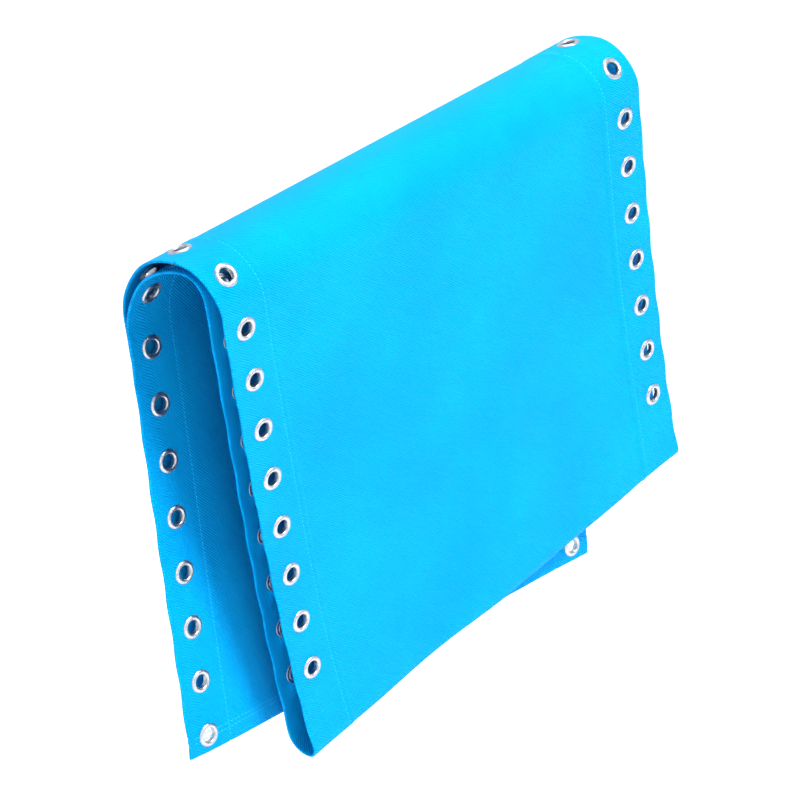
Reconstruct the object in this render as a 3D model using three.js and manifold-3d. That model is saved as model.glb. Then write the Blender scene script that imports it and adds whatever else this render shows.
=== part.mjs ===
// Hanging fabric welding curtain: one long panel of coated cloth, folded double and draped askew over a
// round-topped support, with eyelets down both side hems.
// Millimetres. +X runs along the support, +Y is behind it, +Z is up. The origin is the mid-width point of the
// inner crown's underside, where the support carries the cloth.

import * as THREE from 'three';
import { mergeVertices } from 'three/addons/utils/BufferGeometryUtils.js';
import Module from 'manifold-3d';

const wasm = await Module();
wasm.setup();

// ---- driving dimensions -------------------------------------------------------------------------------
const DEGREE = Math.PI / 180;

const CLOTH_WIDTH = 514;
const CLOTH_THICKNESS = 1.2;
const HEM_THICKNESS = 2.4;
const SIDE_HEM = 50;
const HEM_STEP = 2;

const EYELET_PITCH = 50;
const EYELET_INSET = 21;
const EYELET_BORE = 12;
const EYELET_BARREL = 13.4;
const EYELET_FLANGE = 21;
const FLANGE_THICKNESS = 0.7;
const ASSEMBLY_GAP = 0.3;
const EYELET_SEGMENTS = 8;

const SPLIT_CLEARANCE = 1.6;
const FOLD_CLEARANCE = 0.6;

// Each layer of the doubled cloth. Its turns are how far the cloth is askew at the crown and down each leg.
// crownTilt is how far its crown rises towards +X. Its leans are how far each leg hangs outward from the
// vertical, at its top and LEAN_LENGTH below it. Distances down the cloth start at the crown at mid-width.
const OUTER = {
  crownTurn: 6.8 * DEGREE,
  crownTilt: 1.24 * DEGREE,
  frontTurn: 6.8 * DEGREE,
  backTurn: 1.5 * DEGREE,
  frontRadius: 40.4,
  backRadius: 67.2,
  frontLean: [-5 * DEGREE, 6.9 * DEGREE],
  backLean: [-6.4 * DEGREE, -6.4 * DEGREE],
  crownX: 0,
  crownY: 4.7,
  crownZ: 15.1,
  frontSplit: 62,
  backSplit: 88,
  foldAt: 484,
  foldSkew: 0,
  backEnd: 479,
  firstRow: 11.5,
  lastFrontRow: 8,
};
const INNER = {
  crownTurn: 5.1 * DEGREE,
  crownTilt: 0,
  frontTurn: 6.8 * DEGREE,
  backTurn: 5.1 * DEGREE,
  frontRadius: 20.3,
  backRadius: 64.6,
  frontLean: [-5 * DEGREE, 1.2 * DEGREE],
  backLean: [-6.4 * DEGREE, -6.4 * DEGREE],
  crownX: 1.4,
  crownY: 0,
  crownZ: CLOTH_THICKNESS / 2,
  frontSplit: 54,
  backSplit: 96,
  foldAt: 454,
  foldSkew: -0.0298,
  backEnd: 509,
  firstRow: 5.5,
  lastFrontRow: 8,
};
const LEAN_LENGTH = 500;

// Length of a cubic curve's handles, over its ends' distance, that makes it a half round.
const HALF_ROUND_HANDLE = 2 / 3;
const FOLD_STEPS = 8;
const CROWN_STEP = 9;
const LEG_STEPS = 12;

const CYAN = 0x14b4f0;
const DEEP_CYAN = 0x0b8fd8;
const NICKEL = 0xc9ced3;

// ---- the drape ----------------------------------------------------------------------------------------

// Profile of one leg at a distance down from the crown: how far outward and how far down it has come.
// It turns over the crown at a constant radius, and below that its lean changes with the square of distance.
function legProfile(distance, radius, [leanTop, leanBottom]) {
  const arc = radius * (Math.PI / 2 - leanTop);
  const turned = Math.min(distance, arc) / radius;
  let outward = radius * Math.sin(turned);
  let down = radius * (1 - Math.cos(turned));
  let slope = Math.PI / 2 - turned;
  const straight = distance - arc;
  if (straight > 0) {
    const steps = 24;
    for (let i = 0; i < steps; i += 1) {
      const along = ((i + 0.5) / steps) * straight / LEAN_LENGTH;
      const lean = leanTop + (leanBottom - leanTop) * along * along;
      outward += Math.sin(lean) * straight / steps;
      down += Math.cos(lean) * straight / steps;
    }
    slope = leanTop + (leanBottom - leanTop) * (straight / LEAN_LENGTH) ** 2;
  }
  return { outward, down, slope };
}

// Distance over the crown at which a layer leaves it and starts to hang, at the front (-1 is the back).
function arcLength(layer, side) {
  const radius = side > 0 ? layer.frontRadius : layer.backRadius;
  const [leanTop] = side > 0 ? layer.frontLean : layer.backLean;
  return radius * (Math.PI / 2 - leanTop);
}

// Point and outward normal of a layer's mid-surface. across runs along the cloth's width from its middle.
// over is the distance over the crown in a plane square to X: positive down the front.
function drape(layer, across, over) {
  const front = over >= 0;
  const side = front ? -1 : 1;
  const radius = front ? layer.frontRadius : layer.backRadius;
  const lean = front ? layer.frontLean : layer.backLean;
  const turn = front ? layer.frontTurn : layer.backTurn;
  const { outward, down, slope } = legProfile(Math.abs(over), radius, lean);
  const rise = Math.tan(layer.crownTilt);
  const onCrown = across * Math.cos(layer.crownTilt) / Math.cos(layer.crownTurn - layer.crownTilt);
  const along = over / (Math.cos(turn) + rise * Math.sin(turn));
  const x = onCrown + along * Math.sin(turn);
  const y = layer.crownY + side * outward;
  const z = layer.crownZ + rise * x - down;
  const point = new THREE.Vector3(layer.crownX + x, y, z);
  const normal = new THREE.Vector3(-rise * Math.sin(slope), side * Math.cos(slope), Math.sin(slope));
  return { point, normal: normal.normalize() };
}

// Distance over the crown of a place on the cloth, from its places across and along it.
function overAt(layer, across, along) {
  const fromCrown = along - across * Math.tan(layer.crownTurn - layer.crownTilt);
  const turn = fromCrown >= 0 ? layer.frontTurn : layer.backTurn;
  return fromCrown * (Math.cos(turn) + Math.tan(layer.crownTilt) * Math.sin(turn));
}

const foldLine = (layer) => (across) => layer.foldAt + layer.foldSkew * across;
const backHem = (layer) => () => -layer.backEnd;

// Stations across the cloth: a thick side hem, the thin middle, and the other side hem.
const HALF = CLOTH_WIDTH / 2;
const STATIONS = [
  { across: -HALF, thickness: HEM_THICKNESS },
  { across: -HALF + SIDE_HEM, thickness: HEM_THICKNESS },
  { across: -HALF + SIDE_HEM + HEM_STEP, thickness: CLOTH_THICKNESS },
  { across: 0, thickness: CLOTH_THICKNESS },
  { across: HALF - SIDE_HEM - HEM_STEP, thickness: CLOTH_THICKNESS },
  { across: HALF - SIDE_HEM, thickness: HEM_THICKNESS },
  { across: HALF, thickness: HEM_THICKNESS },
];

// ---- solids -------------------------------------------------------------------------------------------

// Closed shell through rows of stations, each station a middle point, a normal and a thickness.
function shellGeometry(rows) {
  const columns = rows[0].length;
  const positions = [];
  for (const face of [1, -1]) {
    for (const row of rows) {
      for (const { point, normal, thickness } of row) {
        positions.push(...point.clone().addScaledVector(normal, face * thickness / 2).toArray());
      }
    }
  }
  const layerSize = rows.length * columns;
  const index = (face, r, c) => face * layerSize + r * columns + c;
  const triangles = [];
  const quad = (a, b, c, d) => triangles.push(a, b, c, a, c, d);
  for (let r = 0; r < rows.length - 1; r += 1) {
    for (let c = 0; c < columns - 1; c += 1) {
      quad(index(0, r, c), index(0, r + 1, c), index(0, r + 1, c + 1), index(0, r, c + 1));
      quad(index(1, r, c), index(1, r, c + 1), index(1, r + 1, c + 1), index(1, r + 1, c));
    }
    quad(index(0, r, 0), index(1, r, 0), index(1, r + 1, 0), index(0, r + 1, 0));
    const last = columns - 1;
    quad(index(0, r, last), index(0, r + 1, last), index(1, r + 1, last), index(1, r, last));
  }
  for (let c = 0; c < columns - 1; c += 1) {
    quad(index(0, 0, c), index(0, 0, c + 1), index(1, 0, c + 1), index(1, 0, c));
    const end = rows.length - 1;
    quad(index(0, end, c), index(1, end, c), index(1, end, c + 1), index(0, end, c + 1));
  }
  const geometry = new THREE.BufferGeometry();
  geometry.setAttribute('position', new THREE.Float32BufferAttribute(positions, 3));
  geometry.setIndex(triangles);
  return facingOut(geometry);
}

// Turns a closed geometry's faces outward when they were wound inward.
function facingOut(geometry) {
  const p = geometry.attributes.position;
  const corners = [0, 1, 2].map(() => new THREE.Vector3());
  let volume = 0;
  for (let i = 0; i < geometry.index.count; i += 3) {
    corners.forEach((corner, n) => corner.fromBufferAttribute(p, geometry.index.getX(i + n)));
    volume += corners[0].dot(corners[1].cross(corners[2]));
  }
  if (volume < 0) {
    geometry.setIndex(Array.from(geometry.index.array).reverse());
  }
  return geometry;
}

function toManifold(geometry) {
  const bare = geometry.clone();
  bare.deleteAttribute('normal');
  bare.deleteAttribute('uv');
  const merged = mergeVertices(bare, 1e-4);
  return new wasm.Manifold(new wasm.Mesh({
    numProp: 3,
    vertProperties: new Float32Array(merged.attributes.position.array),
    triVerts: new Uint32Array(merged.index.array),
  }));
}

function fromManifold(solid) {
  const mesh = solid.getMesh();
  const geometry = new THREE.BufferGeometry();
  geometry.setAttribute('position', new THREE.BufferAttribute(mesh.vertProperties, 3));
  geometry.setIndex(new THREE.BufferAttribute(mesh.triVerts, 1));
  return geometry;
}

// Places a thing made along +Y so that its axis lies along the normal at a point.
function standOn({ point, normal }) {
  const turn = new THREE.Quaternion().setFromUnitVectors(new THREE.Vector3(0, 1, 0), normal);
  return new THREE.Matrix4().compose(point, turn, new THREE.Vector3(1, 1, 1));
}

function punched(geometry, places) {
  let solid = toManifold(geometry);
  for (const place of places) {
    const radius = EYELET_BARREL / 2 + ASSEMBLY_GAP;
    const punch = new THREE.CylinderGeometry(radius, radius, 4 * HEM_THICKNESS, EYELET_SEGMENTS);
    punch.applyMatrix4(standOn(place));
    solid = solid.subtract(toManifold(punch));
  }
  return fromManifold(solid);
}

function eyeletGeometry() {
  const seat = HEM_THICKNESS / 2 + ASSEMBLY_GAP;
  const face = seat + FLANGE_THICKNESS;
  const profile = [
    [EYELET_BORE / 2, -face],
    [EYELET_FLANGE / 2, -face],
    [EYELET_FLANGE / 2, -seat],
    [EYELET_BARREL / 2, -seat],
    [EYELET_BARREL / 2, seat],
    [EYELET_FLANGE / 2, seat],
    [EYELET_FLANGE / 2, face],
    [EYELET_BORE / 2, face],
    [EYELET_BORE / 2, -face],
  ];
  return new THREE.LatheGeometry(profile.map(([r, y]) => new THREE.Vector2(r, y)), EYELET_SEGMENTS);
}

// ---- assembly -----------------------------------------------------------------------------------------
const curtain = new THREE.Group();

function addPiece(name, geometry, color, metalness, roughness) {
  const material = new THREE.MeshStandardMaterial({ color, metalness, roughness });
  const mesh = new THREE.Mesh(geometry, material);
  mesh.name = name;
  curtain.add(mesh);
  return mesh;
}

const clothRow = (layer, overOf) => STATIONS.map(({ across, thickness }) => ({
  ...drape(layer, across, overOf(across)),
  thickness,
}));

function saddleRows(layer) {
  const start = -layer.backSplit + SPLIT_CLEARANCE / 2;
  const end = layer.frontSplit - SPLIT_CLEARANCE / 2;
  const steps = Math.ceil((end - start) / CROWN_STEP);
  return Array.from({ length: steps + 1 }, (_, i) => (
    clothRow(layer, () => start + ((end - start) * i) / steps)
  ));
}

// A leaf runs from its split line, over what is left of the crown, down to the fold or its hem.
function leafRows(layer, split, end) {
  const side = Math.sign(split);
  const start = split + side * SPLIT_CLEARANCE / 2;
  const hangs = side * arcLength(layer, side);
  const onCrown = side * (hangs - start) > 0 ? [start, (start + hangs) / 2] : [];
  const from = onCrown.length ? hangs : start;
  return [
    ...onCrown.map((over) => clothRow(layer, () => over)),
    ...Array.from({ length: LEG_STEPS + 1 }, (_, i) => (
      clothRow(layer, (across) => from + ((overAt(layer, across, end(across)) - from) * i) / LEG_STEPS)
    )),
  ];
}

// The doubled cloth turns back on itself in a U between the bottoms of the two front leaves.
function foldRows() {
  const acrossWay = new THREE.Vector3(1, 0, 0);
  const arcs = STATIONS.map(({ across }) => {
    const [outer, inner] = [OUTER, INNER].map((layer) => {
      const along = foldLine(layer)(across) + FOLD_CLEARANCE;
      return drape(layer, across, overAt(layer, across, along));
    });
    const down = outer.normal.clone().cross(acrossWay).negate();
    const reach = HALF_ROUND_HANDLE * outer.point.distanceTo(inner.point);
    const handles = [outer, inner].map(({ point }) => point.clone().addScaledVector(down, reach));
    return new THREE.CubicBezierCurve3(outer.point, handles[0], handles[1], inner.point);
  });
  return Array.from({ length: FOLD_STEPS + 1 }, (_, i) => arcs.map((arc, station) => ({
    point: arc.getPoint(i / FOLD_STEPS),
    normal: arc.getTangent(i / FOLD_STEPS).cross(acrossWay).normalize(),
    thickness: STATIONS[station].thickness,
  })));
}

// Eyelet rows that clear the leaf's split line and its far edge, down both side hems.
function eyeletPlaces(layer, split) {
  const side = Math.sign(split);
  const clear = EYELET_FLANGE / 2 + SPLIT_CLEARANCE;
  const lastBackRow = Math.floor((layer.backEnd - clear + layer.firstRow) / EYELET_PITCH);
  const lastRow = side > 0 ? layer.lastFrontRow : lastBackRow;
  const places = [];
  for (const [hem, across] of [['left', -HALF + EYELET_INSET], ['right', HALF - EYELET_INSET]]) {
    let number = 0;
    for (let row = 0; row <= lastRow; row += 1) {
      const over = overAt(layer, across, layer.firstRow + side * row * EYELET_PITCH);
      if (side * (over - split) > clear) {
        number += 1;
        places.push({ hem, number, ...drape(layer, across, over) });
      }
    }
  }
  return places;
}

const leaves = [
  { name: 'outer_front', layer: OUTER, split: OUTER.frontSplit, end: foldLine(OUTER), color: CYAN },
  { name: 'inner_front', layer: INNER, split: INNER.frontSplit, end: foldLine(INNER), color: CYAN },
  { name: 'inner_back', layer: INNER, split: -INNER.backSplit, end: backHem(INNER), color: DEEP_CYAN },
  { name: 'outer_back', layer: OUTER, split: -OUTER.backSplit, end: backHem(OUTER), color: CYAN },
];
// The hidden outer back leaf is left without its eyelets, which keeps the count of pieces down.
const withEyelets = ['outer_front', 'inner_front', 'inner_back'];

addPiece('outer_saddle', shellGeometry(saddleRows(OUTER)), CYAN, 0, 0.6);
addPiece('inner_saddle', shellGeometry(saddleRows(INNER)), DEEP_CYAN, 0, 0.6);
addPiece('front_bottom_fold', shellGeometry(foldRows()), CYAN, 0, 0.6);

for (const { name, layer, split, end, color } of leaves) {
  const places = withEyelets.includes(name) ? eyeletPlaces(layer, split) : [];
  const leaf = shellGeometry(leafRows(layer, split, end));
  addPiece(`${name}_leaf`, places.length ? punched(leaf, places) : leaf, color, 0, 0.6);
  for (const place of places) {
    const eyeletName = `${name}_eyelet_${place.hem}_${place.number}`;
    addPiece(eyeletName, eyeletGeometry(), NICKEL, 0.9, 0.3).applyMatrix4(standOn(place));
  }
}

export default curtain;
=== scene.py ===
import math

import bmesh
import bpy
import numpy as np
from mathutils import Matrix, Vector

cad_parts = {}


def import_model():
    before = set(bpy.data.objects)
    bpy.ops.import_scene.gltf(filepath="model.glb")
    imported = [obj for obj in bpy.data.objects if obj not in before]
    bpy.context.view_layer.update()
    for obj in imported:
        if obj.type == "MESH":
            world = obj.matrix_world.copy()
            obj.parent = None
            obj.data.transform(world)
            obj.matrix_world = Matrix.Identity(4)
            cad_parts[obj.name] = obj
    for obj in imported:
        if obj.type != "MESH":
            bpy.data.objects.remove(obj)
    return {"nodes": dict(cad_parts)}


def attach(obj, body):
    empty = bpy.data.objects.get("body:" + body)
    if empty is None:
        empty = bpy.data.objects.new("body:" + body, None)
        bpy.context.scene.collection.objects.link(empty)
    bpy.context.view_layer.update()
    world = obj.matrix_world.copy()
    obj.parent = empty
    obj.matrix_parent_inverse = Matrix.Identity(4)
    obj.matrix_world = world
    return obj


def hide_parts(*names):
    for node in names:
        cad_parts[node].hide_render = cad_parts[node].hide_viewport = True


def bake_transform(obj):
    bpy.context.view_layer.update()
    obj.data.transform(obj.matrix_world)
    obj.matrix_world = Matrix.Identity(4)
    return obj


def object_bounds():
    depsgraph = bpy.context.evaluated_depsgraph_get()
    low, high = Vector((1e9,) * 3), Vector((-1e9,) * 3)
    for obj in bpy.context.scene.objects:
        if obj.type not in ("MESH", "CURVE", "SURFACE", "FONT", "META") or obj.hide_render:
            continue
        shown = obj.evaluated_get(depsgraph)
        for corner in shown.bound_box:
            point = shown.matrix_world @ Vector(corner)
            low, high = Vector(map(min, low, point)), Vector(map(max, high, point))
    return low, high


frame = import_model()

cad_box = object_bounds()

# ---- sizes, in metres ---------------------------------------------------------------------------------
# The same drape as the CAD model: a panel folded double and hung askew on its support.
MM = 0.001
CLOTH_WIDTH = 514 * MM
CLOTH_THICKNESS = 1.2 * MM
HEM_THICKNESS = 2.4 * MM
SIDE_HEM = 50 * MM
END_HEM = 22 * MM
LEAN_LENGTH = 500 * MM
EYELET_PITCH = 50 * MM
EYELET_INSET = 21 * MM
EYELET_FLANGE = 21 * MM
SPLIT_CLEARANCE = 1.6 * MM
HALF = CLOTH_WIDTH / 2

# Turns say how far askew the cloth is at the crown and down each leg; crown_tilt, how far its crown rises
# towards +X; leans, how far a leg hangs out at its top and at LEAN_LENGTH below it; all in degrees. Distances
# along the cloth start at the crown at mid-width.
OUTER = dict(
    name="outer", crown_turn=6.8, crown_tilt=1.24, front_turn=6.8, back_turn=1.5,
    front_radius=40.4 * MM, back_radius=67.2 * MM, front_lean=(-5, 6.9), back_lean=(-6.4, -6.4),
    crown=(0, 4.7 * MM, 15.1 * MM), front_split=62 * MM, back_split=88 * MM,
    fold_at=484 * MM, fold_skew=0, back_end=479 * MM, first_row=11.5 * MM, last_front_row=8, face_side=1,
)
INNER = dict(
    name="inner", crown_turn=5.1, crown_tilt=0, front_turn=6.8, back_turn=5.1,
    front_radius=20.3 * MM, back_radius=64.6 * MM, front_lean=(-5, 1.2), back_lean=(-6.4, -6.4),
    crown=(1.4 * MM, 0, CLOTH_THICKNESS / 2), front_split=54 * MM, back_split=96 * MM,
    fold_at=454 * MM, fold_skew=-0.0298, back_end=509 * MM, first_row=5.5 * MM, last_front_row=8,
    face_side=-1,
)

# Heights between which each stretch of cloth is meant to turn from following the saddle to following its leg;
# they are stored with each piece and not used.
FRONT_BEND = (4 * MM, -33 * MM)
OUTER_BACK_BEND = (4 * MM, -42 * MM)
INNER_BACK_BEND = (-5 * MM, -55 * MM)

# Mesh steps: fine where the eyelets and stitching are.
FINE = 2.5 * MM
COARSE = 6 * MM

# The bottom fold: its rows, the cloth it takes, and how full it is as a share of the gap it crosses.
FOLD_ROWS = 16
FOLD_LENGTH = 38 * MM
FOLD_FULLNESS = 2 / 3

# Distances down a hanging leg, half a millimetre apart, between which its lean is summed.
LEG_TABLE = np.linspace(0, 1.3 * LEAN_LENGTH, 1301)

# Heights and lengths of the ripples, and the width and middle of the crease down the cloth.
SCALLOP = 0.7 * MM
WIDE_WAVE = 1.5 * MM
WIDE_LENGTH = 330 * MM
SLANT_WAVE = 0.8 * MM
SLANT_LENGTH = 170 * MM
CREASE = 1.2 * MM
CREASE_WIDTH = 16 * MM
CREASE_MIDDLE = -26 * MM


# ---- the drape ----------------------------------------------------------------------------------------
def leg(distance, radius, lean_degrees):
    """How far outward and how far down a leg has come, at distances down from the crown."""
    top, bottom = (math.radians(a) for a in lean_degrees)
    arc = radius * (math.pi / 2 - top)
    turned = np.minimum(distance, arc) / radius
    lean = top + (bottom - top) * (LEG_TABLE / LEAN_LENGTH) ** 2
    middle = lean[:-1] + np.diff(lean) / 2
    out_table = np.concatenate([[0], np.cumsum(np.sin(middle))]) * LEG_TABLE[1]
    down_table = np.concatenate([[0], np.cumsum(np.cos(middle))]) * LEG_TABLE[1]
    hanging = np.maximum(distance - arc, 0)
    outward = radius * np.sin(turned) + np.interp(hanging, LEG_TABLE, out_table)
    down = radius * (1 - np.cos(turned)) + np.interp(hanging, LEG_TABLE, down_table)
    return outward, down


def crown_line(layer, across):
    """Where the crown line crosses the cloth, along its length."""
    return across * math.tan(math.radians(layer["crown_turn"] - layer["crown_tilt"]))


def over_at(layer, across, along):
    """Distance over the crown in a plane square to X; positive down the front."""
    from_crown = along - crown_line(layer, across)
    turn = np.radians(np.where(from_crown >= 0, layer["front_turn"], layer["back_turn"]))
    return from_crown * (np.cos(turn) + math.tan(math.radians(layer["crown_tilt"])) * np.sin(turn))


def fold_line(layer, across):
    """Where a front leaf ends and the bottom fold starts, along the cloth."""
    return layer["fold_at"] + layer["fold_skew"] * across


def smooth_drape(layer, across, along):
    """Points of a layer's middle surface before its ripples."""
    over = over_at(layer, across, along)
    front_out, front_down = leg(np.abs(over), layer["front_radius"], layer["front_lean"])
    back_out, back_down = leg(np.abs(over), layer["back_radius"], layer["back_lean"])
    crown_x, crown_y, crown_z = layer["crown"]
    crown_turn, tilt = math.radians(layer["crown_turn"]), math.radians(layer["crown_tilt"])
    turn = np.radians(np.where(over >= 0, layer["front_turn"], layer["back_turn"]))
    from_crown = along - crown_line(layer, across)
    x = across * math.cos(tilt) / math.cos(crown_turn - tilt) + from_crown * np.sin(turn)
    y = crown_y + np.where(over >= 0, -front_out, back_out)
    z = crown_z + math.tan(tilt) * x - np.where(over >= 0, front_down, back_down)
    return np.stack(np.broadcast_arrays(crown_x + x, y, z), -1)


def grown(distance, start, reach):
    """0 up to a start, rising to 1 at a reach beyond it."""
    return np.clip((distance - start) / reach, 0, 1)


def ripple(layer, across, along):
    """How far the cloth stands out of its smooth drape, along its outward normal."""
    over = np.abs(over_at(layer, across, along))
    hang = grown(over, 40 * MM, 200 * MM)
    low = grown(over, 60 * MM, 400 * MM)
    edge = grown(np.abs(across), HALF - 60 * MM, 60 * MM) ** 2
    row = 2 * math.pi * (along - layer["first_row"]) / EYELET_PITCH
    scallop = -SCALLOP * edge * np.cos(row) * (0.4 + 0.6 * hang)
    phase = 0.0 if layer is OUTER else 1.3
    wide = WIDE_WAVE * hang * np.sin(2 * math.pi * across / WIDE_LENGTH + 0.8 + phase)
    slanted = 2 * math.pi * (across + 0.45 * along) / SLANT_LENGTH
    slant = SLANT_WAVE * low * np.sin(slanted + 2.1 * phase)
    from_crease = across - CREASE_MIDDLE - 0.1 * along
    crease = -CREASE * hang * np.exp(-((from_crease / CREASE_WIDTH) ** 2))
    return scallop + wide + slant + crease


def unit(v):
    """Vectors of length 1 that point the same way."""
    return v / np.linalg.norm(v, axis=-1, keepdims=True)


def smooth_normal(layer, across, along):
    """Outward normal of the smooth drape."""
    step = 0.2 * MM
    run = smooth_drape(layer, across, along + step) - smooth_drape(layer, across, along - step)
    side = smooth_drape(layer, across + step, along) - smooth_drape(layer, across - step, along)
    return unit(np.cross(run, side))


def rippled(layer, across, along):
    """Points of a layer's middle surface with its ripples."""
    height = ripple(layer, across, along)[..., None]
    return smooth_drape(layer, across, along) + smooth_normal(layer, across, along) * height


# ---- eyelets' places ----------------------------------------------------------------------------------
# The cloth is pressed flat out to PRESSED_TO from an eyelet's axis, and eases back by PRESSED_FROM. It is cut
# away inside HOLE_RADIUS, out of sight under the flange.
PRESSED_TO = 11 * MM
PRESSED_FROM = 18 * MM
HOLE_RADIUS = 8 * MM


def eyelet_places(layer):
    """Every eyelet of a layer: its name, its place on the cloth, and its CAD node's name if it has one."""
    clear = EYELET_FLANGE / 2 + SPLIT_CLEARANCE
    rows_behind = math.floor((layer["back_end"] - clear + layer["first_row"]) / EYELET_PITCH)
    found = []
    for hem, across in (("left", -HALF + EYELET_INSET), ("right", HALF - EYELET_INSET)):
        count = dict(front=0, back=0, crown=0)
        for row in (*range(layer["last_front_row"] + 1), *range(-1, -rows_behind - 1, -1)):
            along = layer["first_row"] + row * EYELET_PITCH
            over = float(over_at(layer, across, along))
            part = "crown"
            if over > layer["front_split"] + clear:
                part = "front"
            elif over < -layer["back_split"] - clear:
                part = "back"
            count[part] += 1
            start = f"{layer['name']}_{part}"
            found.append(dict(
                name=f"{start}_{hem}_eyelet_{count[part]}", node=f"{start}_eyelet_{hem}_{count[part]}",
                part=part, across=across, along=along, over=over, layer=layer))
    return found


def stand(place):
    """An eyelet's middle point and the way its rounded face looks."""
    across, along = np.array(place["across"]), np.array(place["along"])
    layer = place["layer"]
    step = 6 * MM
    run = rippled(layer, across, along + step) - rippled(layer, across, along - step)
    side = rippled(layer, across + step, along) - rippled(layer, across - step, along)
    return rippled(layer, across, along), unit(np.cross(run, side))


PLACES = [place for layer in (OUTER, INNER) for place in eyelet_places(layer)]
for place in PLACES:
    place["point"], place["normal"] = stand(place)


def places_on(name):
    """The eyelets that press or pierce a piece of cloth."""
    if name == "front_cloth":
        return [place for place in PLACES if place["over"] > -PRESSED_FROM]
    layer = OUTER if name == "outer_back_cloth" else INNER
    return [place for place in PLACES if place["over"] < PRESSED_FROM and place["layer"] is layer]


def smooth_step(share):
    """Eases from 0 to 1 as a share does, level at both ends."""
    share = np.clip(share, 0, 1)
    return share * share * (3 - 2 * share)


def pressed_flat(points, layers, places):
    """Points of the cloth, pressed flat between each eyelet's flange and its washer."""
    for place in places:
        offset = points - place["point"]
        height = offset @ place["normal"]
        flat = offset - height[..., None] * place["normal"]
        distance = np.linalg.norm(flat, axis=-1)
        same_layer = layers == place["layer"]["face_side"]
        near = same_layer & (np.linalg.norm(offset, axis=-1) < PRESSED_FROM)
        ease = smooth_step((PRESSED_FROM - distance) / (PRESSED_FROM - PRESSED_TO))
        move = np.where(near, ease * height, 0)
        points = points - move[..., None] * place["normal"]
    return points


# ---- meshes and objects -------------------------------------------------------------------------------
def smooth_mesh(name, points, faces):
    """A smooth-shaded mesh."""
    mesh = bpy.data.meshes.new(name)
    mesh.from_pydata(points.reshape(-1, 3).tolist(), [], faces)
    mesh.polygons.foreach_set("use_smooth", np.ones(len(mesh.polygons), bool))
    return mesh


def add_object(name, data):
    """A new object, linked into the scene."""
    obj = bpy.data.objects.new(name, data)
    bpy.context.collection.objects.link(obj)
    return obj


# ---- cloth --------------------------------------------------------------------------------------------
def stations_across():
    """Columns across the cloth: fine in the side hems, with one on each stitch line, coarse between."""
    hem = np.arange(0, SIDE_HEM + 3 * FINE, FINE)
    inner = HALF - hem[-1]
    middle = np.linspace(-inner, inner, 2 * round(inner / COARSE) + 1)[1:-1]
    return np.concatenate([-HALF + hem, middle, (HALF - hem)[::-1]])


ACROSS = stations_across()

# Stitch lines, as distances from the side edge and from the end; how deep they pinch, and how wide.
STITCH_LINE = 45 * MM
END_STITCH_LINES = (END_HEM - 3 * MM, END_HEM - 10 * MM)
SIDE_PINCH = 0.9 * MM
END_PINCH = 0.7 * MM
PINCH_WIDTH = 1.6 * MM

# The slope at the inner edge of a hem, where the cloth steps up to its doubled thickness.
SIDE_STEP = 2.5 * MM
END_STEP = 2 * MM


def thickness_at(across, to_end):
    """The cloth's thickness: doubled in its hems, pinched along its stitching."""
    to_side = HALF - np.abs(across)
    hem = smooth_step((SIDE_HEM + SIDE_STEP - to_side) / SIDE_STEP)
    end = smooth_step((END_HEM + END_STEP - to_end) / END_STEP)
    thick = CLOTH_THICKNESS + (HEM_THICKNESS - CLOTH_THICKNESS) * np.maximum(hem, end)
    pinch = SIDE_PINCH * np.exp(-(((to_side - STITCH_LINE) / PINCH_WIDTH) ** 2))
    for line in END_STITCH_LINES:
        pinch = np.maximum(pinch, END_PINCH * np.exp(-(((to_end - line) / PINCH_WIDTH) ** 2)))
    return thick - pinch


def layer_grid(layer, end, behind):
    """A grid of points down one layer, from one row before its crown line to an end line.

    to_end is the distance to the free end, or 1 m on a layer that has none.
    """
    start = crown_line(layer, ACROSS)
    rows = round(float(np.mean(np.abs(end - start))) / FINE) + 1
    share = np.concatenate([[-1 / (rows - 1)], np.linspace(0, 1, rows)])[:, None]
    across = np.broadcast_to(ACROSS, (rows + 1, len(ACROSS)))
    along = start * (1 - share) + end * share
    points = rippled(layer, across, along)
    marks = np.full(across.shape, layer["face_side"])
    to_end = along - end if behind else np.ones_like(along)
    return dict(points=points, across=across, layers=marks, to_end=to_end)


def fold_grid():
    """The U that joins the two front leaves at the bottom."""
    ends, ways = [], []
    for layer in (OUTER, INNER):
        along = fold_line(layer, ACROSS)
        ends.append(rippled(layer, ACROSS, along))
        ways.append(unit(ends[-1] - rippled(layer, ACROSS, along - 2 * MM)))
    reach = np.linalg.norm(ends[0] - ends[1], axis=-1, keepdims=True) * FOLD_FULLNESS
    t = np.linspace(0, 1, FOLD_ROWS)[1:-1, None, None]
    first, second = ends[0] + ways[0] * reach, ends[1] + ways[1] * reach
    points = (
        (1 - t) ** 3 * ends[0] + 3 * (1 - t) ** 2 * t * first
        + 3 * (1 - t) * t * t * second + t ** 3 * ends[1]
    )
    across = np.broadcast_to(ACROSS, points.shape[:2])
    no_layer, far = np.zeros(across.shape), np.ones(across.shape)
    return dict(points=points, across=across, layers=no_layer, to_end=far)


def joined(grids):
    """One grid of the rows of several, in turn."""
    return {key: np.concatenate([g[key] for g in grids]) for key in grids[0]}


def front_grid():
    """From the outer crown down the front, round the fold and up to the inner crown."""
    outer = layer_grid(OUTER, fold_line(OUTER, ACROSS), False)
    inner = layer_grid(INNER, fold_line(INNER, ACROSS), False)
    inner = {key: value[::-1] for key, value in inner.items()}
    return joined([outer, fold_grid(), inner])


def back_grid(layer):
    """From the crown down the back to the free end."""
    return layer_grid(layer, np.full_like(ACROSS, -layer["back_end"]), True)


def run_length(points):
    """Distance travelled down each column."""
    steps = np.linalg.norm(np.diff(points, axis=0), axis=-1)
    return np.concatenate([np.zeros((1, points.shape[1])), np.cumsum(steps, axis=0)])


# Angles at which the side edges and the rolled free end are rounded off.
EDGE_ROUND = np.radians([50, 0, -50])
END_ROUND = np.radians([35, 60, 80])


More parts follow.
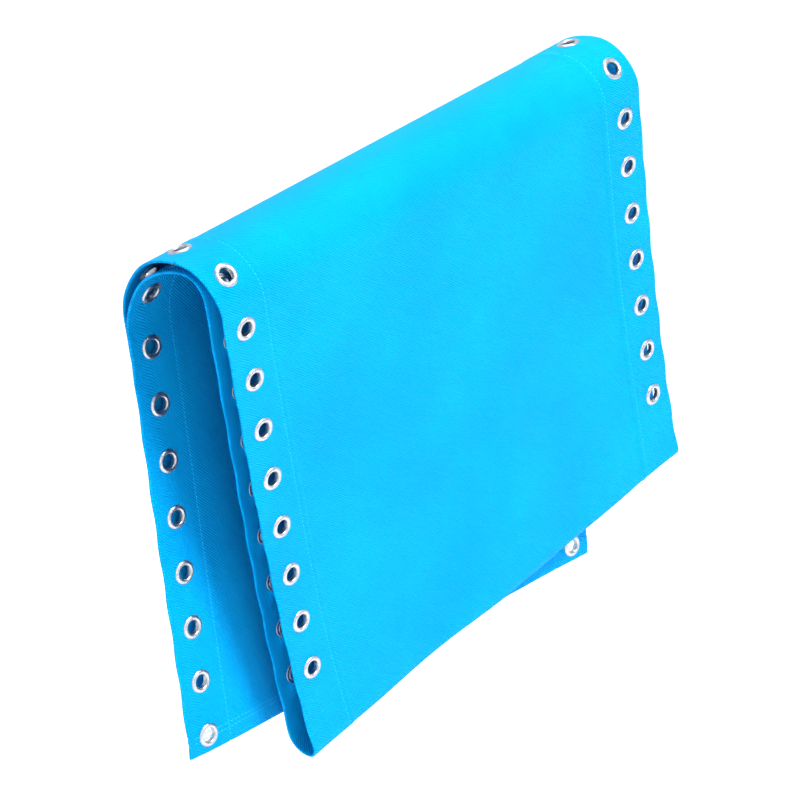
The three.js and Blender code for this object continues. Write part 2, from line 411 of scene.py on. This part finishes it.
def cloth_piece(name, grid, rolled_end, flip, starts_at, way):
    """A closed sheet mesh, and the grid of its two faces for the stitching.

    Its loops run across one face, round an edge, back across the other face and round the other edge.
    starts_at and way give the weave's place at the first row, and whether it counts up or down from there.
    """
    places = places_on(name)
    points = pressed_flat(grid["points"], grid["layers"], places)
    across_way = np.gradient(points, axis=1)
    down_way = np.gradient(points, axis=0)
    normal = unit(np.cross(down_way, across_way)) * flip
    keep = slice(1, None) if rolled_end else slice(1, -1)
    points, normal = points[keep], normal[keep]
    length = run_length(points)
    across, layers, to_end = (grid[key][keep] for key in ("across", "layers", "to_end"))
    half = thickness_at(across, to_end)[..., None] / 2
    if rolled_end:
        points, normal, half, length, across = roll_end(points, normal, half, length, across)
        layers = np.concatenate([layers, layers[-len(END_ROUND):]])
    face, back = points + normal * half, points - normal * half
    right = rounded_edge(points, normal, half, -1)
    left = rounded_edge(points, normal, half, 0)
    loops = np.concatenate([face, right, back[:, ::-1], left], axis=1)
    weave = starts_at + way * length
    uv = np.stack([round_loop(across), round_loop(weave)], -1)
    mesh = loft(name, loops, uv, points, layers, places)
    fix_seam_normals(mesh, normal, loops.shape, rolled_end)
    made = dict(face=face, back=back, normal=normal, length=length, ends_at=weave[-1])
    return add_object(name, mesh), made


def round_loop(values):
    """A face's values taken round each loop, with its side values repeated round the edges."""
    turns = len(EDGE_ROUND)
    right = np.repeat(values[:, [-1]], turns, axis=1)
    left = np.repeat(values[:, [0]], turns, axis=1)
    return np.concatenate([values, right, values[:, ::-1], left], axis=1)


def roll_end(points, normal, half, length, across):
    """Adds rows that round the free end off, as a folded hem does."""
    way = unit(points[-1] - points[-2])
    rows = [(points, normal, half, length, across)]
    for angle in END_ROUND:
        out = half[-1] * math.sin(angle)
        rows.append((
            (points[-1] + way * out)[None], normal[-1:], half[-1:] * math.cos(angle),
            length[-1:] + out[None, :, 0], across[-1:],
        ))
    return [np.concatenate(parts) for parts in zip(*rows)]


def rounded_edge(points, normal, half, side):
    """Points round a side edge: the right one, -1, from face to back; the left one, 0, from back to face."""
    inward = 1 if side == 0 else -2
    way = unit(points[:, side] - points[:, inward])[:, None]
    angles = EDGE_ROUND if side == -1 else EDGE_ROUND[::-1]
    rise, out = np.sin(angles)[None, :, None], np.cos(angles)[None, :, None]
    size = half[:, side][:, None]
    return points[:, side][:, None] + normal[:, side][:, None] * rise * size + way * out * size


def loft(name, loops, uv, middle, layers, places):
    """Joins the loops into faces, leaves out the cells under each eyelet and closes both ends."""
    rows, around = loops.shape[:2]
    columns = middle.shape[1]
    index = np.arange(rows * around).reshape(rows, around)
    gone = np.zeros((rows - 1, columns - 1), bool)
    centres = (middle[:-1, :-1] + middle[1:, 1:] + middle[:-1, 1:] + middle[1:, :-1]) / 4
    for place in places:
        near = np.linalg.norm(centres - place["point"], axis=-1) < HOLE_RADIUS
        gone |= near & (layers[:-1, :-1] == place["layer"]["face_side"])
    quads = np.stack([
        index[:-1], np.roll(index, -1, 1)[:-1], np.roll(index, -1, 1)[1:], index[1:],
    ], -1)
    keep = np.ones((rows - 1, around), bool)
    keep[:, :columns - 1] = ~gone
    first_back = columns + len(EDGE_ROUND)
    keep[:, first_back:first_back + columns - 1] = ~gone[:, ::-1]
    faces = quads[keep].tolist()
    opposite = 2 * columns + len(EDGE_ROUND) - 1
    faces += hole_walls(gone, index, opposite)
    faces += end_strip(index[0], columns, opposite, True)
    faces += end_strip(index[-1], columns, opposite, False)
    mesh = smooth_mesh(name, loops, faces)
    layer = mesh.uv_layers.new(name="cloth")
    loop_vertices = np.empty(len(mesh.loops), np.int32)
    mesh.loops.foreach_get("vertex_index", loop_vertices)
    layer.data.foreach_set("uv", uv.reshape(-1, 2)[loop_vertices].astype(np.float32).ravel())
    face_outward(mesh)
    return mesh


def face_outward(mesh):
    """Turns a closed mesh's faces to look out of it."""
    shape = bmesh.new()
    shape.from_mesh(mesh)
    if shape.calc_volume(signed=True) < 0:
        mesh.flip_normals()
    shape.free()


def hole_walls(gone, index, opposite):
    """Walls between the two faces round each hole. The back's column opposite - i lies under column i."""
    walls = []
    padded = np.pad(gone, 1)
    for r, c in np.argwhere(gone):
        corners = ((r, c), (r, c + 1), (r + 1, c + 1), (r + 1, c))
        beyond = (padded[r, c + 1], padded[r + 1, c + 2], padded[r + 2, c + 1], padded[r + 1, c])
        for k in range(4):
            if not beyond[k]:
                (r0, c0), (r1, c1) = corners[k], corners[(k + 1) % 4]
                walls.append([
                    int(index[r0, c0]), int(index[r1, c1]),
                    int(index[r1, opposite - c1]), int(index[r0, opposite - c0]),
                ])
    return walls


def end_strip(loop, columns, opposite, first):
    """Closes one end of the loft between its face and its back."""
    strip = [[int(loop[i]), int(loop[i + 1]), int(loop[opposite - i - 1]), int(loop[opposite - i])]
             for i in range(columns - 1)]
    right = [int(loop[columns - 1 + i]) for i in range(len(EDGE_ROUND) + 2)]
    left = [int(loop[opposite + i]) for i in range(len(EDGE_ROUND) + 1)] + [int(loop[0])]
    caps = strip + [right, left]
    return [cap[::-1] for cap in caps] if first else caps


def fix_seam_normals(mesh, normal, shape, rolled_end):
    """Gives both sides of a crown seam the drape's own normal, because the cloth is unbroken there.

    A zero leaves a vertex with the normal of its mesh.
    """
    rows, around = shape[:2]
    columns = normal.shape[1]
    wanted = np.zeros((rows, around, 3))
    first_back = columns + len(EDGE_ROUND)
    for row in ((0,) if rolled_end else (0, rows - 1)):
        wanted[row, 1:columns - 1] = normal[row, 1:-1]
        wanted[row, first_back + 1:first_back + columns - 1] = -normal[row, ::-1][1:-1]
    mesh.normals_split_custom_set_from_vertices(wanted.reshape(-1, 3).tolist())


# ---- stitching ----------------------------------------------------------------------------------------
STITCH_PITCH = 4.2 * MM
STITCH_LENGTH = 3.5 * MM
STITCH_RISE = 0.30 * MM
STITCH_DROP = 0.62 * MM
STITCH_SIDES = 6
STITCH_RINGS = 5
THREAD_RADIUS = 0.34 * MM
THREAD_TAPER = 0.45
THREAD_STEP = 0.5 * MM


def stitches(line, normal):
    """Thread along a line: one short bowed stitch after another, with its ends drawn into the cloth."""
    steps = np.linalg.norm(np.diff(line, axis=0), axis=-1)
    travel = np.concatenate([[0], np.cumsum(steps)])
    count = int(travel[-1] / STITCH_PITCH) - 1
    middles = (np.arange(count) + 1) * STITCH_PITCH
    bow = np.linspace(-1, 1, STITCH_RINGS)
    at = (middles[:, None] + bow * STITCH_LENGTH / 2).ravel()
    up = unit(values_at(at, travel, normal))
    lift = np.tile(STITCH_RISE - STITCH_DROP * bow ** 4, count)
    spine = values_at(at, travel, line) + up * lift[:, None]
    run = values_at(at + THREAD_STEP, travel, line) - values_at(at - THREAD_STEP, travel, line)
    side = unit(np.cross(unit(run), up))
    radius = np.tile(THREAD_RADIUS * (1 - THREAD_TAPER * bow ** 4), count)[:, None, None]
    turn = np.linspace(0, 2 * math.pi, STITCH_SIDES, endpoint=False)[None, :, None]
    rings = spine[:, None] + radius * (np.cos(turn) * side[:, None] + np.sin(turn) * up[:, None])
    return rings.reshape(count, STITCH_RINGS, STITCH_SIDES, 3)


def values_at(distances, travel, values):
    """Vectors along a line, read at distances between its points."""
    return np.stack([np.interp(distances, travel, values[:, k]) for k in range(3)], -1)


def thread_piece(name, runs):
    """One mesh of all the stitches on a piece of cloth."""
    rings = np.concatenate(runs)
    count, length, around = rings.shape[:3]
    index = np.arange(count * length * around).reshape(count, length, around)
    turned = np.roll(index, -1, 2)
    quads = np.stack([index[:, :-1], turned[:, :-1], turned[:, 1:], index[:, 1:]], -1).reshape(-1, 4)
    faces = quads.tolist() + index[:, 0, ::-1].tolist() + index[:, -1].tolist()
    return add_object(name, smooth_mesh(name, rings, faces))


def side_runs(made):
    """Stitching down both side hems, on both faces."""
    runs = []
    column = int(round(STITCH_LINE / FINE))
    for c in (column, len(ACROSS) - 1 - column):
        runs.append(stitches(made["face"][:, c], made["normal"][:, c]))
        runs.append(stitches(made["back"][:, c], -made["normal"][:, c]))
    return runs


def end_runs(made):
    """The end hem's two rows of stitching, on both faces."""
    runs = []
    edge = made["length"][-1]
    for distance in END_STITCH_LINES:
        row = int(np.argmin(np.abs(made["length"][:, 0] - (edge[0] - distance))))
        runs.append(stitches(made["face"][row, 1:-1], made["normal"][row, 1:-1]))
        runs.append(stitches(made["back"][row, 1:-1], -made["normal"][row, 1:-1]))
    return runs


# ---- eyelets ------------------------------------------------------------------------------------------
EYELET_TURNS = 40

# Radius and height, in millimetres, of the eyelet's domed flange, its barrel and its rolled lip.
EYELET_PROFILE = [
    (6.0, -1.9), (6.0, 1.1), (6.15, 1.75), (6.6, 2.3), (7.3, 2.62), (8.1, 2.7), (8.9, 2.55), (9.7, 2.1),
    (10.25, 1.6), (10.5, 1.2), (10.35, 1.02), (9.6, 1.3), (8.0, 1.6), (6.9, 1.35), (6.55, 0.9),
    (6.55, -1.5), (6.75, -1.95), (7.15, -2.05), (7.7, -2.0), (7.95, -2.2), (7.75, -2.5), (7.1, -2.62),
    (6.45, -2.45), (6.1, -2.2),
]

# Radius and height, in millimetres, of the washer that the lip is rolled over.
WASHER_PROFILE = [
    (6.7, -1.25), (6.7, -1.7), (7.3, -1.9), (8.6, -1.95), (9.6, -1.8), (10.2, -1.62), (10.5, -1.35),
    (10.5, -1.15), (10.1, -1.12), (9.2, -1.22), (7.6, -1.22),
]


def turned_ring(profile):
    """Closed profile turned about the Z axis, as vertices and faces."""
    angle = np.linspace(0, 2 * math.pi, EYELET_TURNS, endpoint=False)
    shape = np.array(profile) * MM
    x = np.cos(angle)[:, None] * shape[:, 0]
    y = np.sin(angle)[:, None] * shape[:, 0]
    z = np.broadcast_to(shape[:, 1], x.shape)
    index = np.arange(x.size).reshape(x.shape)
    next_turn, next_point = np.roll(index, -1, 0), np.roll(index, -1, 1)
    both = np.roll(next_turn, -1, 1)
    faces = np.stack([index, next_point, both, next_turn], -1).reshape(-1, 4)
    return np.stack([x, y, z], -1).reshape(-1, 3), faces


def eyelet_mesh():
    """An eyelet and its washer."""
    vertices, faces = [], []
    for profile in (EYELET_PROFILE, WASHER_PROFILE):
        ring, quads = turned_ring(profile)
        faces += (quads + sum(len(v) for v in vertices)).tolist()
        vertices.append(ring)
    return smooth_mesh("eyelet", np.concatenate(vertices), faces)


def place_eyelets(material):
    """Every eyelet on its hem. Those on the legs ride; those near the crown get a mesh of their own with
    their placement baked in.
    """
    mesh = eyelet_mesh()
    mesh.materials.append(material)
    spin = np.random.default_rng(11)
    made = {}
    for place in PLACES:
        crown = place["part"] == "crown"
        obj = add_object(place["name"], mesh.copy() if crown else mesh)
        facing = Vector(place["normal"]) * place["layer"]["face_side"]
        spun = Matrix.Rotation(spin.uniform(0, 6.28), 3, "Z").to_quaternion()
        turn = facing.to_track_quat("Z", "X") @ spun
        obj.matrix_world = Matrix.Translation(Vector(place["point"])) @ turn.to_matrix().to_4x4()
        if crown:
            bend_eyelet(obj, place)
        else:
            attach(obj, f"{place['part']}_leg")
            if place["node"] in frame["nodes"]:
                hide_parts(place["node"])
        made.setdefault(cloth_under(place), []).append(obj)
    return made


def cloth_under(place):
    """The name of the piece of cloth that an eyelet is set in."""
    return "front_cloth" if place["over"] >= 0 else f"{place['layer']['name']}_back_cloth"


def bend_eyelet(obj, place):
    """An eyelet near the crown has its placement baked into its mesh, on either side of the crown."""
    if place["over"] >= 0:
        bend(obj)
    else:
        bend(obj)


def bend(obj):
    """Bakes a piece's placement into its mesh; it does not follow the saddle or a leg."""
    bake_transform(obj)


# ---- materials ----------------------------------------------------------------------------------------
TWILL_PITCH = 2.8 * MM
YARN_PITCH = 0.7 * MM
YARN_DEPTH = 0.55
WEAVE_DRIFT = 1.6 * MM
# How much painted shade the weave's height puts into the colour: darker in its grooves, lighter on its
# crests.
WEAVE_PAINTED_SHADE = 0.16
HIGHLIGHT = (0.05, 0.7, 1.0, 1)


def new_material(name):
    """A material with its node tree and its shader."""
    material = bpy.data.materials.new(name)
    material.use_nodes = True
    tree = material.node_tree
    return material, tree, tree.nodes["Principled BSDF"]


def set_inputs(node, values):
    """Sets a node's inputs by their names."""
    for name, value in values.items():
        node.inputs[name].default_value = value


def maths(tree, operation, first, second=None):
    """A maths node whose inputs are sockets or numbers."""
    node = tree.nodes.new("ShaderNodeMath")
    node.operation = operation
    for socket, value in zip(node.inputs, (first, second)):
        if isinstance(value, (int, float)):
            socket.default_value = value
        elif value is not None:
            tree.links.new(value, socket)
    return node.outputs[0]


def wave(tree, value, pitch):
    """A wave from -1 to 1 with the given pitch, in metres."""
    return maths(tree, "SINE", maths(tree, "MULTIPLY", value, 2 * math.pi / pitch))


def noise(tree, place, scale, detail):
    """Noise from 0 to 1 with about scale cells to a metre."""
    node = tree.nodes.new("ShaderNodeTexNoise")
    set_inputs(node, {"Scale": scale, "Detail": detail})
    tree.links.new(place, node.inputs["Vector"])
    return node.outputs["Fac"]


def colour_by(tree, value, *stops):
    """The shader's colour runs between two stops, each a position and a colour, as a value rises."""
    ramp = tree.nodes.new("ShaderNodeValToRGB")
    for element, (position, colour) in zip(ramp.color_ramp.elements, stops):
        element.position = position
        element.color = (*colour, 1)
    tree.links.new(value, ramp.inputs["Fac"])
    tree.links.new(ramp.outputs["Color"], tree.nodes["Principled BSDF"].inputs["Base Color"])


def roughness_by(tree, value, low, high):
    """The shader's roughness runs from low to high as a value rises from 0 to 1."""
    spread = tree.nodes.new("ShaderNodeMapRange")
    set_inputs(spread, {"To Min": low, "To Max": high})
    tree.links.new(value, spread.inputs["Value"])
    tree.links.new(spread.outputs[0], tree.nodes["Principled BSDF"].inputs["Roughness"])


def bump_by(tree, height, strength, distance):
    """The shader's surface rises with a height."""
    bump = tree.nodes.new("ShaderNodeBump")
    set_inputs(bump, {"Strength": strength, "Distance": distance})
    tree.links.new(height, bump.inputs["Height"])
    tree.links.new(bump.outputs["Normal"], tree.nodes["Principled BSDF"].inputs["Normal"])


def cloth_material():
    """Coated twill: diagonal wales of fine yarns, a soft sheen, tone that varies a little, and painted weave
    shade.
    """
    material, tree, shader = new_material("coated_twill")
    uv = tree.nodes.new("ShaderNodeUVMap")
    uv.uv_map = "cloth"
    place = uv.outputs["UV"]
    split = tree.nodes.new("ShaderNodeSeparateXYZ")
    tree.links.new(place, split.inputs[0])
    u, v = split.outputs[0], split.outputs[1]
    drift = maths(tree, "MULTIPLY", noise(tree, place, 60, 3), WEAVE_DRIFT)
    diagonal = maths(tree, "SUBTRACT", u, v)
    wale = wave(tree, maths(tree, "ADD", diagonal, drift), TWILL_PITCH)
    warp = wave(tree, maths(tree, "ADD", u, drift), YARN_PITCH)
    weft = wave(tree, maths(tree, "ADD", v, drift), YARN_PITCH)
    yarn = maths(tree, "MULTIPLY", warp, weft)
    height = maths(tree, "ADD", wale, maths(tree, "MULTIPLY", yarn, YARN_DEPTH))
    bump_by(tree, height, 1.0, 0.45 * MM)
    clouds = noise(tree, place, 7, 5)
    # Painted shade: random clouds of tone plus the weave's height, so the grooves are painted darker and the
    # crests lighter.
    tone_and_weave_shade = maths(tree, "ADD", clouds, maths(tree, "MULTIPLY", height, WEAVE_PAINTED_SHADE))
    colour_by(tree, tone_and_weave_shade, (0.22, (0.0, 0.34, 0.85)), (0.78, (0.001, 0.46, 0.98)))
    roughness_by(tree, clouds, 0.46, 0.66)
    set_inputs(shader, {
        "Specular IOR Level": 0.06,
        "Specular Tint": HIGHLIGHT,
        "Sheen Weight": 0.03,
        "Sheen Roughness": 0.45,
        "Sheen Tint": (0.1, 0.8, 1.0, 1),
    })
    return material


def thread_material():
    """Twisted polyester thread a little paler than the cloth."""
    material, tree, shader = new_material("sewing_thread")
    place = tree.nodes.new("ShaderNodeTexCoord").outputs["Object"]
    fibres = noise(tree, place, 900, 2)
    colour_by(tree, fibres, (0.3, (0.01, 0.44, 0.88)), (0.7, (0.04, 0.6, 0.99)))
    bump_by(tree, fibres, 0.5, 0.1 * MM)
    set_inputs(shader, {"Roughness": 0.6, "Specular IOR Level": 0.1, "Specular Tint": HIGHLIGHT})
    return material


def nickel_material():
    """Bright nickel plate with fine scuffs and a faint dulling."""
    material, tree, shader = new_material("nickel_plate")
    place = tree.nodes.new("ShaderNodeTexCoord").outputs["Object"]
    scuffs = noise(tree, place, 420, 6)
    roughness_by(tree, scuffs, 0.2, 0.42)
    colour_by(tree, scuffs, (0.3, (0.38, 0.38, 0.39)), (0.65, (0.55, 0.55, 0.56)))
    bump_by(tree, scuffs, 0.12, 0.1 * MM)
    set_inputs(shader, {"Metallic": 1.0})
    return material


# ---- the curtain --------------------------------------------------------------------------------------
cloth_look = cloth_material()
thread_look = thread_material()

PIECES = {
    "front_cloth": dict(
        grid=front_grid(), rolled=False, flip=1, slot="cloth_outer", leg="front_leg",
        heights=FRONT_BEND, nodes=("outer_front_leaf", "inner_front_leaf", "front_bottom_fold"),
        length=OUTER["fold_at"] + FOLD_LENGTH + INNER["fold_at"],
    ),
    "outer_back_cloth": dict(
        grid=back_grid(OUTER), rolled=True, flip=-1, slot="cloth_outer", leg="back_leg",
        heights=OUTER_BACK_BEND, nodes=("outer_back_leaf", "outer_saddle"), length=OUTER["back_end"],
    ),
    "inner_back_cloth": dict(
        grid=back_grid(INNER), rolled=True, flip=-1, slot="cloth_inner", leg="back_leg",
        heights=INNER_BACK_BEND, nodes=("inner_back_leaf", "inner_saddle"), length=INNER["back_end"],
    ),
}

eyelets = place_eyelets(nickel_material())

# The weave runs on through the whole cloth: both ways from the outer crown, and into the inner back cloth
# from the front cloth's last row at the inner crown.
outer_crown = crown_line(OUTER, ACROSS)
weave_starts = {"front_cloth": (outer_crown, 1), "outer_back_cloth": (outer_crown, -1)}

for name, piece in PIECES.items():
    cloth, made = cloth_piece(name, piece["grid"], piece["rolled"], piece["flip"], *weave_starts[name])
    if name == "front_cloth":
        weave_starts["inner_back_cloth"] = (made["ends_at"], 1)
    cloth.data.materials.append(cloth_look)
    runs = side_runs(made)
    if piece["rolled"]:
        runs += end_runs(made)
    thread = thread_piece(name.replace("cloth", "stitching"), runs)
    thread.data.materials.append(thread_look)
    for obj in (cloth, thread):
        bend(obj)
    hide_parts(*piece["nodes"])


# ---- floor, light and camera --------------------------------------------------------------------------
FLOOR_BELOW = 0.45
FLOOR_SIZE = 14
SKY_COLOUR = (0.84, 0.91, 1.0, 1)
SKY_STRENGTH = 1.1

# Name, place, point aimed at, diameter and power of each light.
LIGHTS = [
    ("key", (0.4, -1.95, 2.0), (0, 0, -0.2), 1.0, 138),
    ("fill", (-1.6, -2.0, 0.3), (0, 0, -0.3), 1.6, 8),
    ("top", (0.6, 0.8, 2.0), (0, 0, 0), 1.2, 40),
]

# A long lens from the upper left of the front, rolled a little clockwise; angles in degrees.
CAMERA_AZIMUTH = -44.22
CAMERA_ELEVATION = 27.44
CAMERA_ROLL = 5.9
CAMERA_AIM = (-0.0824, -0.0530, -0.1743)
CAMERA_DISTANCE = 2.751
CAMERA_LENS = 147.8
CAMERA_SENSOR = 36


def floor():
    """A pale floor well below the curtain."""
    height = cad_box[0].z - FLOOR_BELOW
    bpy.ops.mesh.primitive_plane_add(size=FLOOR_SIZE, location=(0, 0, height))
    plane = bpy.context.object
    plane.name = "studio_floor"
    material, _, shader = new_material("pale_floor")
    set_inputs(shader, {"Base Color": (0.9, 0.9, 0.9, 1), "Roughness": 0.8})
    plane.data.materials.append(material)


def soft_light(name, place, aim, size, power):
    """A round area light aimed at a point."""
    light = bpy.data.lights.new(name, "AREA")
    light.shape = "DISK"
    light.size = size
    light.energy = power
    obj = add_object(name, light)
    obj.location = place
    obj.rotation_euler = (Vector(aim) - Vector(place)).to_track_quat("-Z", "Y").to_euler()


def camera():
    """The camera, CAMERA_DISTANCE from the point that it aims at."""
    azimuth, elevation, roll = (
        math.radians(a) for a in (CAMERA_AZIMUTH, CAMERA_ELEVATION, CAMERA_ROLL))
    level = Vector((math.cos(azimuth), math.sin(azimuth), 0))
    ahead = Vector((-math.sin(azimuth), math.cos(azimuth), 0))
    back = Vector((0, 0, math.sin(elevation))) - ahead * math.cos(elevation)
    upright = back.cross(level)
    right = level * math.cos(roll) - upright * math.sin(roll)
    up = level * math.sin(roll) + upright * math.cos(roll)
    data = bpy.data.cameras.new("camera")
    data.sensor_width = CAMERA_SENSOR
    data.lens = CAMERA_LENS
    obj = add_object("camera", data)
    turn = Matrix((right, up, back)).transposed().to_4x4()
    obj.matrix_world = Matrix.Translation(Vector(CAMERA_AIM) + back * CAMERA_DISTANCE) @ turn
    bpy.context.scene.camera = obj


def world():
    """Even sky light."""
    backdrop = bpy.data.worlds.new("studio")
    backdrop.use_nodes = True
    sky = backdrop.node_tree.nodes["Background"]
    set_inputs(sky, {"Color": SKY_COLOUR, "Strength": SKY_STRENGTH})
    bpy.context.scene.world = backdrop


floor()
world()
for light in LIGHTS:
    soft_light(*light)
camera()
bpy.context.scene.view_settings.view_transform = "Standard"
